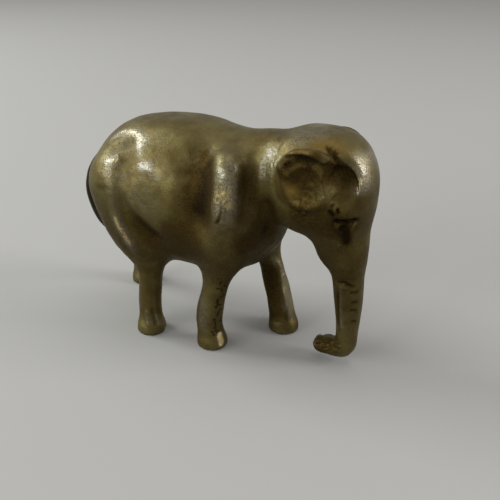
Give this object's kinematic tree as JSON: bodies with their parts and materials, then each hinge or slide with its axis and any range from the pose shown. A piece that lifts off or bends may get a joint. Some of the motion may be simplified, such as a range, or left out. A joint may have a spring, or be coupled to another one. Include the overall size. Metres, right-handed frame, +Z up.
{
  "type": "elephant figurine",
  "caption": "Brass ornament of a walking elephant, trunk hanging and hooked back at the tip, with a hollow cast body and a bent rod tail; it stands free on its flat soles.",
  "frame": {"origin": "Under the middle of the object's length and width, at the level of the soles; the plane y = 0 is the joint between the two halves.", "axes": "+X is the way the elephant faces, +Y its left side, +Z up."},
  "size_m": [0.0786, 0.0313, 0.0555],
  "materials": {
    "cast_body": "satin ground brass with a thin olive-brown oxide film, dark as-cast recesses",
    "tail_rod": "satin brass, browned on the side towards the rump"
  },
  "bodies": {
    "root": {"right_half": "cast_body", "left_half": "cast_body", "tail": "tail_rod"}
  },
  "joints": []
}
